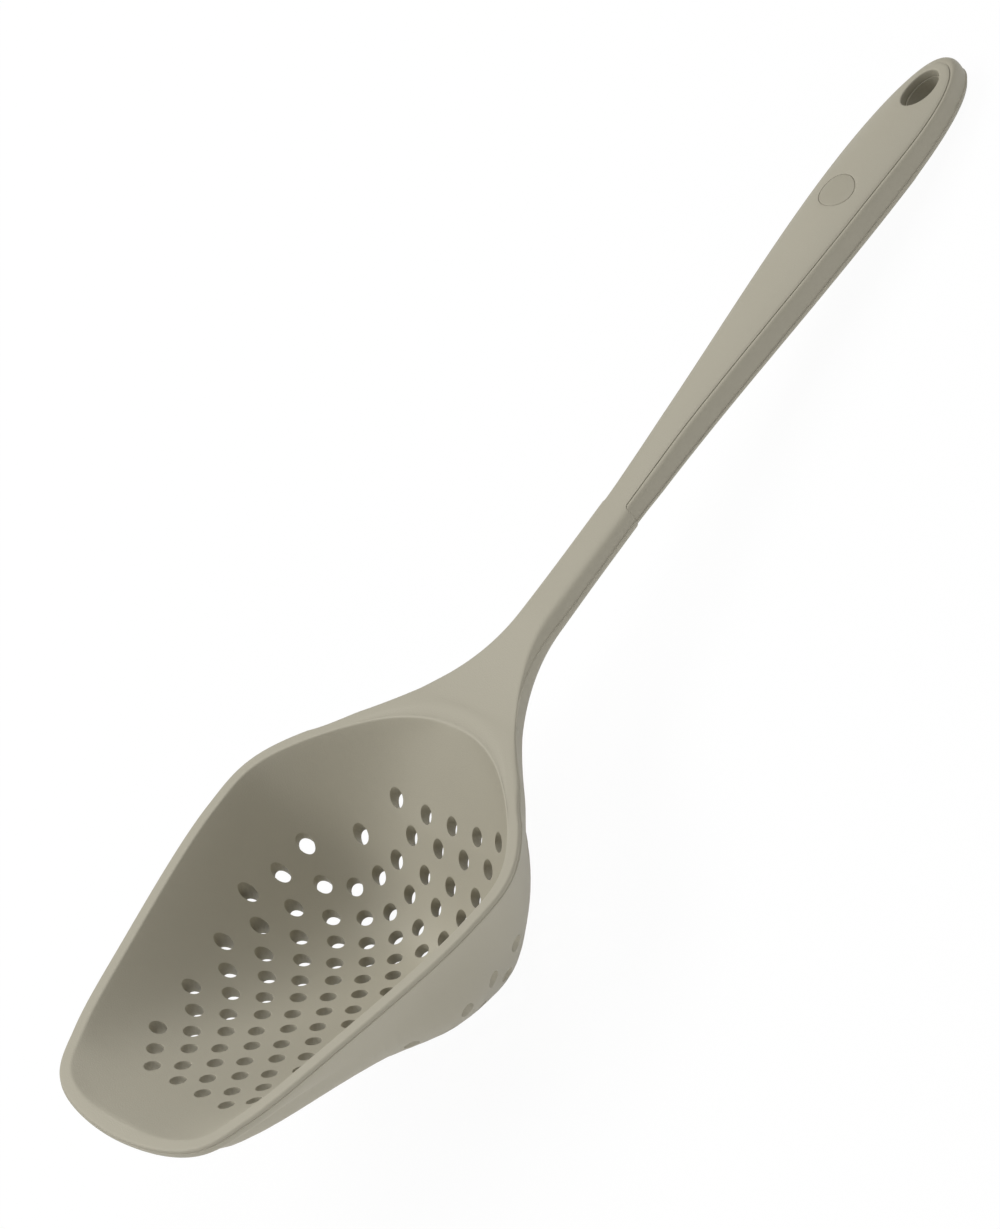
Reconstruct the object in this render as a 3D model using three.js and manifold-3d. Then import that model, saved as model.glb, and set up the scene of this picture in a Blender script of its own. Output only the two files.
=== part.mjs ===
// Scoop skimmer: a perforated silicone bowl on a flat handle, moulded over a stiff nylon core.
// Modelled in the frame of the bowl's mouth: X from the lip to the end of the handle, Y to the left,
// Z up from the flat rim. The last lines lay the tool down on its bowl and on the end of its handle.
import * as THREE from 'three';
import { mergeVertices } from 'three/addons/utils/BufferGeometryUtils.js';
import Module from 'manifold-3d';

const wasm = await Module();
wasm.setup();

// Sizes in millimetres.
const LENGTH = 382; // lip to handle end
const GAP = 0.3; // room between neighbouring pieces

// Bowl
const BOWL_LENGTH = 139.3; // mouth, inner edge at the lip to inner edge at the back
const BOWL_HALF = 53.4; // half of the mouth's greatest width, inside
const FLOOR_SLOPE = 0.58; // fall of the floor from the lip
const BACK_SLOPE = 1.458; // fall of the back wall
const FLOOR_BLEND = 9.8; // how far floor and back wall are rounded into each other
const BLEND_FADE = 29; // depth below which that rounding is complete
const SIDE_POWER = 3.57; // fullness of the bowl's cross-section
const WALL = 3.3;
const LIP_FILL = 3.4; // extra wall low on the sides, most of it this far behind the lip:
const LIP_FILL_AT = 20;
const LIP_FILL_END = 85;
const BACK_FILL = 1.4; // extra wall low on the sides, most of it this far before the mouth's back:
const BACK_FILL_AT = 18;
const BACK_FILL_REACH = 15;
const FILL_FROM = 0.5; // share of the half width where that wall begins
const FILL_FULL = 0.8; // and where it is thickest
const RIM_WIDTH = 3.9;
const RIM_HEIGHT = 3.5;
const RIM_ROUND = 0.9;
const LIP_HEIGHT = 2.2; // the rim is lower at the lip
const LIP_REACH = 30;

// Half of the mouth's outline, lip to back, as fractions of its length and half width.
const MOUTH = [
  [0, 0],
  [0.043, 0.506],
  [0.131, 0.646],
  [0.31, 0.788],
  [0.644, 0.98],
  [0.774, 0.95],
  [0.959, 0.433],
  [1, 0],
];

// Perforations: straight rows of drilled holes, every second row set half a pitch aside.
const HOLE_DIAMETER = 4.3;
const HOLE_PITCH = 10.71;
const ROW_STEP = 5.0; // from a row on the half pitch to the next one on the full pitch
const FIRST_ROW = 24.8; // from the lip
const HOLES_IN_ROW = [4, 5, 6, 5, 6, 7, 6, 7, 8, 7, 8, 9, 8, 9, 8, 9, 6, 7, 4, 5];

// Neck and collar, placed from the back of the bowl's mouth
const HANDLE_SLOPE = 0.0845; // the handle climbs away from the rim's plane
const HANDLE_FROM_BACK = 40.3; // where its middle crosses that plane
const NECK_HALF = 6.45;
const NECK_CORNER = 4.7; // sideways reach of the neck's rounded corners
const SHOULDER_BEFORE_BACK = 18.2; // where the shoulders leave the rim
const SHOULDER_END_FROM_BACK = 41.3; // where they have become the neck
const SHOULDER_RADIUS = 42; // arc of a shoulder
const SHOULDER_SWEEP = 50; // length of that arc before it runs on straight
const SHOULDER_CORNER = 1.2;
const HEEL_FROM_BACK = 6.8; // from here on the silicone is a front and a back half
const FULL_FROM_BACK = 35; // from here on the neck has its full depth
const COLLAR_FROM_BACK = 75.8;
const NECK_BACK = 5; // middle of the neck to its back
const SKIN = 2.2; // silicone and its gap over the core
const TANG_MARGIN = 4.2; // from the heel to the end of the core's tang

// Grip, placed from the end of the handle
const BEND_BEFORE_END = 80; // from here on the handle bends down a little
const BEND_RADIUS = 2080;
const LAND_TOP = 4.55; // middle of the handle to the top of the front strip, at the collar
const LAND_SWELL = 2.45; // the strip's middle rises by this much to its widest part
const LAND_FALL = 0.8; // share of that rise lost again at the end
const LAND_CROWN = 22; // radius of the strip's arc across
const LAND_EDGE = 0.18; // how far the strip's very edge rolls down
const LAND_RISE = 0.5; // strip above the core's shoulder
const BODY_HALF_START = 6.2;
const BODY_HALF = 12.1;
const BODY_PEAK_BEFORE_END = 37; // where the grip is widest
const BODY_TIP = 2.1; // roundness of its end
const LAND_HALF_START = 3.9;
const LAND_HALF = 10.1;
const LAND_PEAK_BEFORE_END = 40;
const LAND_MARGIN = 3.5; // from the end of the strip to the end of the handle
const LAND_TIP = 2.5;
const LAND_LEAD = 12; // the strips run into the collar by this much
const SIDE_ROLL = 2.0; // the core's side rolls in by this much up to the shoulder
const SIDE_OUT = 1.25; // roundness of that roll near the shoulder
const SIDE_UP = 1.5; // and near the side
const BACK_ROLL = 3.0;
const BACK_START = 4.1; // middle of the handle to the core's back, at the collar
const BACK_END = 5.05; // the same where the grip is widest
const BACK_RISE = 0.4; // back strip above the core's back
const BACK_EDGE = 0.5; // bevel of the back strip
const BACK_STRIP_INSET = 1.6; // back strip narrower than the front strip on each side

// Hanging hole, badge and the studs that tie the front strip through the core
const EYE_BEFORE_END = 14.4;
const EYE_LENGTH = 13.5;
const EYE_WIDTH = 8.7;
const EYE_FLARE = 0.8;
const EYE_LEDGE = 0.4; // the core shows inside the hole by this much
const BADGE_BEFORE_END = 54.2;
const BADGE_DIAMETER = 11.2;
const BADGE_THICKNESS = 0.9;
const STUD_COUNT = 3;
const STUD_LENGTH = 9;
const STUD_WIDTH = 3.4;

// Smoothness
const MOUTH_STEPS = 44;
const BOWL_RINGS = [0.12, 0.36, 0.56, 0.72, 0.85, 0.94, 1];
const HOLE_SIDES = 8;
const CORNER_STEPS = 5;
const NECK_STEPS = 20;
const TANG_STEPS = 10;
const GRIP_STEPS = 14;
const TIP_STEPS = 8;
const CROWN_STEPS = 7;
const ROLL_STEPS = 4;
const EYE_STEPS = 20;
const BADGE_STEPS = 20;
const STUD_STEPS = 10;

const { lerp, smoothstep, clamp } = THREE.MathUtils;
const V2 = (x, y) => new THREE.Vector2(x, y);
const V3 = (x, y, z) => new THREE.Vector3(x, y, z);

// A closed solid through rings of equally many points. Each ring runs anticlockwise about the
// direction in which the rings follow each other, and `flat` lays the end rings out for their caps.
function loft(rings, flat) {
  const count = rings[0].length;
  const points = rings.flat();
  const faces = [];
  for (let i = 0; i + 1 < rings.length; i++) {
    for (let j = 0; j < count; j++) {
      const a = i * count + j;
      const b = i * count + ((j + 1) % count);
      faces.push(a, b, b + count, a, b + count, a + count);
    }
  }
  const last = (rings.length - 1) * count;
  const cap = (ring) => THREE.ShapeUtils.triangulateShape(ring.map(flat), []);
  for (const [a, b, c] of cap(rings[0])) faces.push(c, b, a);
  for (const [a, b, c] of cap(rings.at(-1))) faces.push(last + a, last + b, last + c);
  const geometry = new THREE.BufferGeometry().setFromPoints(points);
  geometry.setIndex(faces);
  return solid(geometry);
}

function solid(geometry) {
  geometry.deleteAttribute('normal');
  geometry.deleteAttribute('uv');
  const merged = mergeVertices(geometry, 1e-4);
  const mesh = new wasm.Mesh({
    numProp: 3,
    vertProperties: merged.attributes.position.array,
    triVerts: new Uint32Array(merged.index.array),
  });
  return new wasm.Manifold(mesh);
}

// Outward normals of an anticlockwise outline in plan.
function normals(outline) {
  return outline.map((p, i) => {
    const before = outline.at(i - 1);
    const after = outline[(i + 1) % outline.length];
    return V2(after.y - before.y, before.x - after.x).normalize();
  });
}

// A plan outline carried up through [inset, level] steps, with its height given by `heightAt`.
function pillow(outline, steps, heightAt) {
  const out = normals(outline);
  const rings = steps.map(([inset, level]) =>
    outline.map((p, i) => {
      const q = p.clone().addScaledVector(out[i], -inset);
      return V3(q.x, q.y, heightAt(q.x, level, q.y));
    }),
  );
  return loft(rings, (p) => V2(p.x, p.y));
}

// Quarter of an ellipse as [inset, level] steps, from the upright side to the flat top or bottom.
function roll(inset, from, to, steps) {
  return Array.from({ length: steps + 1 }, (_, i) => {
    const angle = (i / steps) * (Math.PI / 2);
    return [inset * (1 - Math.cos(angle)), lerp(from, to, Math.sin(angle))];
  });
}

function rectangle(x0, x1, half) {
  return [V2(x0, -half), V2(x1, -half), V2(x1, half), V2(x0, half)];
}

function oval(x, y, length, width, steps) {
  return Array.from({ length: steps }, (_, i) => {
    const angle = (i / steps) * 2 * Math.PI;
    return V2(x + (length / 2) * Math.cos(angle), y + (width / 2) * Math.sin(angle));
  });
}

// Places along the tool.
const LIP = RIM_WIDTH;
const BACK = LIP + BOWL_LENGTH;
const SHOULDER_START = BACK - SHOULDER_BEFORE_BACK;
const SHOULDER_END = BACK + SHOULDER_END_FROM_BACK;
const HEEL = BACK + HEEL_FROM_BACK;
const NECK_FULL = BACK + FULL_FROM_BACK;
const HANDLE_START = BACK + HANDLE_FROM_BACK;
const COLLAR_END = BACK + COLLAR_FROM_BACK;
const BODY_PEAK = LENGTH - BODY_PEAK_BEFORE_END;
const LAND_PEAK = LENGTH - LAND_PEAK_BEFORE_END;
const LAND_END = LENGTH - LAND_MARGIN;
const EYE_X = LENGTH - EYE_BEFORE_END;
const BADGE_X = LENGTH - BADGE_BEFORE_END;
const REACH = LENGTH / 4; // more than any height

// The middle of the handle, and heights above it.
function middle(x) {
  const bent = Math.max(0, x - LENGTH + BEND_BEFORE_END);
  return HANDLE_SLOPE * (x - HANDLE_START) - bent ** 2 / (2 * BEND_RADIUS);
}
const onHandle = (x, level) => middle(x) + level;
const onRim = (x, level) =>
  level < -RIM_ROUND ? level * lerp(LIP_HEIGHT / RIM_HEIGHT, 1, smoothstep(x, 0, LIP_REACH)) : level;

// Mouth of the bowl.
const mouthSide = MOUTH.map(([a, b]) => V3(LIP + a * BOWL_LENGTH, -b * BOWL_HALF, 0));
const mouthOther = mouthSide.slice(1, -1).reverse();
const mouthPoints = [...mouthSide, ...mouthOther.map((p) => V3(p.x, -p.y, 0))];
const mouthCurve = new THREE.CatmullRomCurve3(mouthPoints, true, 'centripetal');
const mouth = mouthCurve.getPoints(MOUTH_STEPS).slice(0, -1);
const mouthPlan = mouth.map((p) => V2(p.x, p.y));

const halfCurve = mouthCurve.getPoints(40 * mouthPoints.length).filter((p) => p.y <= 0);
function mouthHalf(x) {
  const i = halfCurve.findIndex((p) => p.x >= x);
  if (i < 1) return 0;
  const [a, b] = [halfCurve[i - 1], halfCurve[i]];
  return -lerp(a.y, b.y, (x - a.x) / (b.x - a.x));
}

// Depth of the bowl along its middle: the sloping floor rounded into the steep back wall.
function depth(x) {
  const floor = FLOOR_SLOPE * (x - LIP);
  const wall = BACK_SLOPE * (BACK - x);
  const blend = FLOOR_BLEND * clamp(wall / BLEND_FADE, 0, 1);
  return (floor + wall) / 2 - Math.hypot((floor - wall) / 2, blend);
}

function across(x, y) {
  const half = mouthHalf(x);
  return half > 0 ? Math.min(1, Math.abs(y) / half) : 1;
}

function bowlInside(x, y) {
  return -Math.max(0, depth(x)) * (1 - across(x, y) ** SIDE_POWER);
}

// Thickness of the bowl's wall, with its sides filled out behind the lip and before the back.
const bump = (x, from, peak, to) => smoothstep(x, from, peak) * (1 - smoothstep(x, peak, to));
function wallAt(x, y) {
  const peak = BACK - BACK_FILL_AT;
  const behindLip = LIP_FILL * bump(x, LIP, LIP_FILL_AT, LIP_FILL_END);
  const beforeBack = BACK_FILL * bump(x, peak - BACK_FILL_REACH, peak, peak + BACK_FILL_REACH);
  return WALL + (behindLip + beforeBack) * bump(across(x, y), FILL_FROM, FILL_FULL, 1);
}

function bowlNormal(x, y) {
  const d = 0.4;
  const dx = (bowlInside(x + d, y) - bowlInside(x - d, y)) / (2 * d);
  const dy = (bowlInside(x, y + d) - bowlInside(x, y - d)) / (2 * d);
  return V3(-dx, -dy, 1).normalize();
}

// Rings of the bowl, from its deepest part out to the rim.
const deepest = (BACK_SLOPE * BACK + FLOOR_SLOPE * LIP) / (BACK_SLOPE + FLOOR_SLOPE);
const bowlPlan = (share) => mouthPlan.map((p) => p.clone().sub(V2(deepest, 0)).multiplyScalar(share));
const insideRings = BOWL_RINGS.map((share) =>
  bowlPlan(share).map((p) => V3(p.x + deepest, p.y, share < 1 ? bowlInside(p.x + deepest, p.y) : 0)),
);
const outsideRings = BOWL_RINGS.map((share, k) =>
  bowlPlan(Math.min(share, 0.985)).map((p, j) => {
    const out = bowlNormal(p.x + deepest, p.y);
    return insideRings[k][j].clone().addScaledVector(out, -wallAt(p.x + deepest, p.y));
  }),
);
const lidRing = outsideRings.at(-1).map((p) => V3(p.x, p.y, -RIM_ROUND / 3));
const liftRing = mouth.map((p) => V3(p.x, p.y, RIM_HEIGHT * 8));
const planOf = (p) => V2(p.x, p.y);
const bowlOutside = loft([...outsideRings, lidRing], planOf);
const bowlHollow = loft([...insideRings, liftRing], planOf);

const rimSteps = roll(RIM_ROUND, -RIM_ROUND, 0, 3).map(([a, b]) => [a - RIM_WIDTH, b]);
const rim = pillow(mouthPlan, [[-RIM_WIDTH, -RIM_HEIGHT], ...rimSteps], onRim);

// Perforations, drilled straight down through the bowl.
const drill = new THREE.CylinderGeometry(HOLE_DIAMETER / 2, HOLE_DIAMETER / 2, BOWL_LENGTH, HOLE_SIDES);
drill.rotateX(Math.PI / 2);
const drills = HOLES_IN_ROW.flatMap((count, row) => {
  const x = FIRST_ROW + HOLE_PITCH * Math.floor(row / 2) + ROW_STEP * (row % 2);
  return Array.from({ length: count }, (_, i) => {
    const y = (i - (count - 1) / 2) * HOLE_PITCH;
    return solid(drill.clone().translate(x, y, -BOWL_LENGTH / 2));
  });
});

// Neck: shoulders that run out of the rim into an oval neck and collar.
function neckSection(x, inset) {
  const before = Math.max(0, SHOULDER_END - x);
  const sweep = Math.min(before, SHOULDER_SWEEP);
  const half = NECK_HALF + (sweep * (2 * before - sweep)) / (2 * SHOULDER_RADIUS) - inset;
  const top = lerp(0, onHandle(x, LAND_TOP), smoothstep(x, BACK - SHOULDER_CORNER, HANDLE_START)) - inset;
  const low = lerp(-RIM_HEIGHT, onHandle(x, -NECK_BACK), smoothstep(x, SHOULDER_START, NECK_FULL)) + inset;
  const corner = lerp(SHOULDER_CORNER, NECK_CORNER, smoothstep(x, SHOULDER_START, HANDLE_START));
  const side = Math.max(0.5, corner - inset / 2);
  const seam = lerp((top + low) / 2, clamp(middle(x), low, top), smoothstep(x, HEEL - NECK_CORNER, HEEL));
  const ring = [];
  for (let quarter = 0; quarter < 4; quarter++) {
    const flank = quarter === 0 || quarter === 3 ? half - side : side - half;
    for (let i = 0; i <= CORNER_STEPS; i++) {
      const angle = (quarter + i / CORNER_STEPS) * (Math.PI / 2);
      const reach = quarter < 2 ? top - seam : seam - low;
      ring.push(V3(x, flank + side * Math.cos(angle), seam + reach * Math.sin(angle)));
    }
  }
  return ring;
}

function neckLoft(from, to, steps, inset) {
  const rings = Array.from({ length: steps + 1 }, (_, i) =>
    neckSection(lerp(from, to, i / steps), inset),
  );
  return loft(rings, (p) => V2(p.y, p.z));
}

const neck = neckLoft(SHOULDER_START, COLLAR_END, NECK_STEPS, 0);
const tangStart = HEEL + TANG_MARGIN;
const tangEnd = COLLAR_END + BACK_ROLL;
const tang = neckLoft(tangStart, tangEnd, TANG_STEPS, SKIN);
const tangRoom = neckLoft(tangStart - GAP, tangEnd, TANG_STEPS, SKIN - GAP);
const belowSeam = (from, level) => {
  const steps = [[0, -REACH], [0, level]];
  return pillow(rectangle(from, COLLAR_END + GAP, LENGTH), steps, onHandle);
};

// Grip outlines: an even swell from the collar to the widest part, then a rounded end.
function gripOutline(start, peak, end, halfStart, halfPeak, power) {
  const from = start - LAND_LEAD;
  const side = Array.from({ length: GRIP_STEPS }, (_, i) => {
    const x = lerp(from, peak, i / GRIP_STEPS);
    const share = clamp((x - start) / (peak - start), 0, 1);
    return V2(x, -lerp(halfStart, halfPeak, (1 - Math.cos(Math.PI * share)) / 2));
  });
  const tip = Array.from({ length: TIP_STEPS }, (_, i) => {
    const angle = (i / TIP_STEPS) * (Math.PI / 2);
    return V2(
      peak + (end - peak) * Math.sin(angle) ** (2 / power),
      -halfPeak * Math.cos(angle) ** (2 / power),
    );
  });
  const right = [...side, ...tip];
  const left = right.map((p) => V2(p.x, -p.y)).reverse();
  return [...right, V2(end, 0), ...left];
}

const bodyPlan = gripOutline(COLLAR_END, BODY_PEAK, LENGTH, BODY_HALF_START, BODY_HALF, BODY_TIP);
const landPlan = gripOutline(COLLAR_END, LAND_PEAK, LAND_END, LAND_HALF_START, LAND_HALF, LAND_TIP);

// Front strip: half width and height along its middle, and its arc across.
const swell = (x) => (1 - Math.cos(Math.PI * clamp((x - COLLAR_END) / (LAND_PEAK - COLLAR_END), 0, 1))) / 2;
const behind = (x) => clamp((x - LAND_PEAK) / (LAND_END - LAND_PEAK), 0, 1);
const landHalf = (x) =>
  lerp(LAND_HALF_START, LAND_HALF, swell(x)) * (1 - behind(x) ** LAND_TIP) ** (1 / LAND_TIP);
const landTop = (x) => LAND_TOP + LAND_SWELL * swell(x) * (1 - LAND_FALL * behind(x) ** 2);
const landLevel = (x, y) => landTop(x) - y ** 2 / (2 * LAND_CROWN);
const onLand = (x, level, y) => onHandle(x, landLevel(x, y) + level);

const shoulderAt = (x) => landLevel(x, landHalf(x)) - LAND_EDGE - LAND_RISE;
const webTop = LAND_TOP - SKIN;
const webLow = SKIN - NECK_BACK;
const backAt = (x) => -lerp(BACK_START, BACK_END, smoothstep(x, COLLAR_END, BODY_PEAK));
const onBody = (x, level) => onHandle(x, level < 0 ? (backAt(x) * level) / -BACK_END : shoulderAt(x) * level);

// Core: a body with rounded sides, sunk front and back for the strips, and a tang into the neck.
const sideSteps = Array.from({ length: ROLL_STEPS + 1 }, (_, i) => {
  const share = Math.cos((i / ROLL_STEPS) * (Math.PI / 2));
  return [SIDE_ROLL * (1 - share), (1 - share ** SIDE_OUT) ** (1 / SIDE_UP)];
});
const bodySteps = [...roll(BACK_ROLL, BACK_ROLL - BACK_END, -BACK_END, ROLL_STEPS).reverse(), ...sideSteps];
const wideBody = pillow(bodyPlan, bodySteps, onBody);
const through = (plan, inset) => pillow(plan, [[inset, -REACH], [inset, REACH]], onHandle);
const collarSide = through(rectangle(0, COLLAR_END + GAP, LENGTH), 0);
const frontSink = pillow(landPlan, [[-GAP, webTop], [-GAP, REACH]], onHandle);
const sinkInset = BACK_STRIP_INSET - GAP;
const backSink = pillow(landPlan, [[sinkInset, -REACH], [sinkInset, webLow]], onHandle);

const studPlans = (room) =>
  Array.from({ length: STUD_COUNT }, (_, i) => {
    const x = lerp(COLLAR_END, BADGE_X, (i + 1) / (STUD_COUNT + 1));
    return oval(x, 0, STUD_LENGTH + 2 * room, STUD_WIDTH + 2 * room, STUD_STEPS);
  });
const studs = studPlans(0).map((plan) => pillow(plan, [[0, webLow], [0, LAND_TOP - SKIN / 2]], onHandle));
const studHoles = studPlans(GAP).map((plan) => through(plan, 0));

const eyePlan = oval(EYE_X, 0, EYE_LENGTH, EYE_WIDTH, EYE_STEPS);
const flareSteps = [[0, -EYE_FLARE], [-EYE_FLARE * 0.4, -EYE_FLARE * 0.3], [-EYE_FLARE, 0], [-EYE_FLARE, REACH]];
const eye = through(eyePlan, 0).add(pillow(eyePlan, flareSteps, onLand));
const coreEye = through(eyePlan, EYE_LEDGE);

const core = wasm.Manifold.difference([
  wideBody.subtract(collarSide).subtract(frontSink).subtract(backSink).add(tang),
  coreEye,
  ...studHoles,
]);

// Badge: a plain disc let into the front strip.
const badgePlan = (room) =>
  oval(BADGE_X, 0, BADGE_DIAMETER + 2 * room, BADGE_DIAMETER + 2 * room, BADGE_STEPS);
const badgeFace = (level) => [0.46, 0.25, 0].map((share) => [share * BADGE_DIAMETER, level]);
const badgeTop = badgeFace(0).reverse();
const badge = pillow(badgePlan(0), [...badgeFace(-BADGE_THICKNESS), ...badgeTop], onLand);
const badgeRoom = pillow(badgePlan(GAP), [...badgeFace(-BADGE_THICKNESS - GAP), [0, REACH]], onLand);

// Front silicone: bowl, front half of the neck and the strip along the grip.
const stripLow = LAND_TOP - SKIN + GAP;
function stripSection(x, sunk) {
  const half = landHalf(x);
  const ring = [V3(x, -half, onHandle(x, stripLow)), V3(x, half, onHandle(x, stripLow))];
  for (let i = 0; i <= CROWN_STEPS; i++) {
    const y = half * Math.cos((i / CROWN_STEPS) * Math.PI);
    const edge = i % CROWN_STEPS === 0 ? LAND_EDGE : 0;
    ring.push(V3(x, y, onHandle(x, landLevel(x, y) - edge - sunk)));
  }
  return ring;
}
const stripPlaces = [
  ...Array.from({ length: GRIP_STEPS }, (_, i) => lerp(COLLAR_END, LAND_PEAK, i / GRIP_STEPS)),
  ...Array.from({ length: TIP_STEPS }, (_, i) => {
    const angle = (i / (TIP_STEPS - 0.75)) * (Math.PI / 2);
    return lerp(LAND_PEAK, LAND_END, Math.sin(angle) ** (2 / LAND_TIP));
  }),
];
const stripRings = [stripSection(COLLAR_END - LAND_RISE, LAND_RISE), ...stripPlaces.map((x) => stripSection(x, 0))];
const strip = loft(stripRings, (p) => V2(p.y, p.z));
const neckFront = neck.subtract(belowSeam(HEEL, GAP / 2)).subtract(tangRoom);
const front = wasm.Manifold.difference([
  wasm.Manifold.union([bowlOutside, rim, neckFront, strip, ...studs]),
  bowlHollow,
  eye,
  badgeRoom,
  ...drills,
]);

// Back silicone: back half of the neck and the strip along the back of the grip.
const backSteps = [
  [BACK_STRIP_INSET + BACK_EDGE, -BACK_END - BACK_RISE],
  [BACK_STRIP_INSET, -BACK_END - BACK_RISE + BACK_EDGE],
  [BACK_STRIP_INSET, -BACK_END / 2],
];
const backStrip = pillow(landPlan, backSteps, onBody);
const stripLimit = pillow(landPlan, [[0, -REACH], [0, webLow - GAP]], onHandle);
const neckBack = neck.intersect(belowSeam(HEEL + GAP, -GAP / 2)).subtract(tangRoom);
const back = neckBack.add(backStrip.intersect(stripLimit)).subtract(eye);

// Named pieces and their materials.
const silicone = { color: 0xb3aa97, roughness: 0.62, metalness: 0 };
const nylon = { color: 0xa89f8c, roughness: 0.55, metalness: 0 };
const badgePlastic = { color: 0xaba28f, roughness: 0.5, metalness: 0 };

function piece(name, made, look) {
  const { vertProperties, triVerts } = made.getMesh();
  const geometry = new THREE.BufferGeometry();
  geometry.setAttribute('position', new THREE.BufferAttribute(vertProperties, 3));
  geometry.setIndex(new THREE.BufferAttribute(triVerts, 1));
  geometry.computeVertexNormals();
  const mesh = new THREE.Mesh(geometry, new THREE.MeshStandardMaterial(look));
  mesh.name = name;
  return mesh;
}

const tool = new THREE.Group();
tool.add(
  piece('silicone_bowl_front', front, silicone),
  piece('silicone_back', back, silicone),
  piece('nylon_core', core, nylon),
  piece('badge_disc', badge, badgePlastic),
);

// Lay the tool down: turn it about Y until the bowl and the end of the handle are equally low.
const corners = tool.children.flatMap((mesh) => {
  const position = mesh.geometry.attributes.position;
  return Array.from({ length: position.count }, (_, i) => V3().fromBufferAttribute(position, i));
});
const lowest = (tilt, keep) =>
  Math.min(...corners.filter(keep).map((p) => p.z * Math.cos(tilt) - p.x * Math.sin(tilt)));
let [low, high] = [0, 0.6];
for (let i = 0; i < 40; i++) {
  const tilt = (low + high) / 2;
  if (lowest(tilt, (p) => p.x < COLLAR_END) < lowest(tilt, (p) => p.x >= COLLAR_END)) low = tilt;
  else high = tilt;
}
tool.rotation.y = low;

// Origin on the surface it lies on, in the middle of its length.
const group = new THREE.Group();
group.add(tool);
group.updateMatrixWorld(true);
const box = new THREE.Box3().setFromObject(tool, true);
tool.position.set(-(box.min.x + box.max.x) / 2, -(box.min.y + box.max.y) / 2, -box.min.z);

export default group;
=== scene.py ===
import math

import bmesh
import bpy
import numpy as np
from mathutils import Matrix, Vector
from mathutils.geometry import delaunay_2d_cdt

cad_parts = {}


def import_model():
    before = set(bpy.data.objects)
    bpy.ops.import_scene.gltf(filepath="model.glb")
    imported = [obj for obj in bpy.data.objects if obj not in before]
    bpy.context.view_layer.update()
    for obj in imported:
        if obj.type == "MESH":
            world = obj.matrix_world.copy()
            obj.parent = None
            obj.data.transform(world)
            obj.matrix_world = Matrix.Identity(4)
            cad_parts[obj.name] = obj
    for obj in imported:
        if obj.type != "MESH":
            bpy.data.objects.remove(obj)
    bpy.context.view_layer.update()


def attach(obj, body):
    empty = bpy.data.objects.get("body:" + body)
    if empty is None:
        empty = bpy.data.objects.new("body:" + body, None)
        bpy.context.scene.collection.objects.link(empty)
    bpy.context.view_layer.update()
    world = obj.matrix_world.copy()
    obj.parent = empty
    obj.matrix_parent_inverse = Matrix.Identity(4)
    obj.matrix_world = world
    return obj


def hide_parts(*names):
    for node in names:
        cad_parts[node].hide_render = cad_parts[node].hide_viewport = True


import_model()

# Sizes in millimetres, in the frame of the bowl's mouth: X from the lip to the end of the handle,
# Y to the left, Z up from the flat rim. Places along the handle count from the lip.
LENGTH = 382.0

# Bowl
BOWL_LENGTH = 139.3  # mouth, inner edge at the lip to inner edge at the back
BOWL_HALF = 53.4
FLOOR_SLOPE = 0.58  # fall of the floor from the lip
BACK_SLOPE = 1.458  # fall of the back wall
FLOOR_BLEND = 9.8  # how far floor and back wall are rounded into each other
BLEND_FADE = 29.0  # depth below which that rounding is complete
SIDE_POWER = 3.57  # fullness of the bowl's cross-section
WALL = 3.27
LIP_FILL, LIP_FILL_AT, LIP_FILL_END = 3.4, 20.0, 85.0  # extra wall behind the lip
# Further changes of the wall: amount, distance to the mouth's back, reach to both sides.
WALL_CHANGES = [(3.0, 63.2, 20.0), (-1.1, 41.2, 15.0), (1.3, 19.2, 16.0)]
FILL_FROM, FILL_FULL = 0.5, 0.8  # shares of the half width where these changes begin and are full

# Rim
RIM_WIDTH = 3.9
RIM_HEIGHT = 3.5
RIM_ROUND = 0.75
EDGE_ROUND = 0.55  # rounding from the bowl onto the rim
PARTING = 0.28  # inset of the rim's side above its parting line
LEDGE_INSET = 0.03
SIDE_LEVELS = [-0.82, -0.89, -0.96, -1.06, -1.18]
LEDGE_LEVELS = [-1.3, -1.45]
LIP_HEIGHT, LIP_REACH, LIP_BULGE = 3.0, 30.0, 1.4  # the rim is lower and rounder at the lip
RIM_FOOT = 0.3  # the rim reaches this far below its height
FLUSH, FLUSH_FROM, FLUSH_FULL = 10.0, 15.0, 70.0  # along the sides it reaches this much further
FLUSH_BACK, FLUSH_CORNER_IN, FLUSH_CORNER_OUT = 100.0, 12.0, 40.0  # and less so across the back
TUCK_LEAST, TUCK_MOST = 0.3, 16.0  # bounds of the wall's distance from the mouth's edge
LIP = RIM_WIDTH
BACK = LIP + BOWL_LENGTH
MOUTH = [(0, 0), (0.043, 0.506), (0.131, 0.646), (0.31, 0.788),
         (0.644, 0.98), (0.774, 0.95), (0.959, 0.433), (1, 0)]

# Holes
HOLE_RADIUS = 2.15
HOLE_PITCH = 10.71
ROW_STEP = 5.0  # from a row on the half pitch to the next one on the full pitch
FIRST_ROW = 24.8
HOLES_IN_ROW = [4, 5, 6, 5, 6, 7, 6, 7, 8, 7, 8, 9, 8, 9, 8, 9, 6, 7, 4, 5]
HOLE_EDGE = 0.1  # rounding of a hole's edges
EDGE_STEPS = [(1.0, 0.0), (0.62, 0.08), (0.29, 0.29), (0.08, 0.62), (0.0, 1.0)]  # a quarter circle
HOLE_MARGIN = 0.3  # narrow ring of the face round a hole
HOLE_CLEAR = 0.75  # other points of the face keep this distance from that ring
HOLE_SQUEEZE = 0.2  # how strongly a slope draws a hole in
HOLE_LEAN = 0.27  # share of the slope's angle by which a bore leans
BORE_LIMIT = 20.0  # longer than any bore

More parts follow.
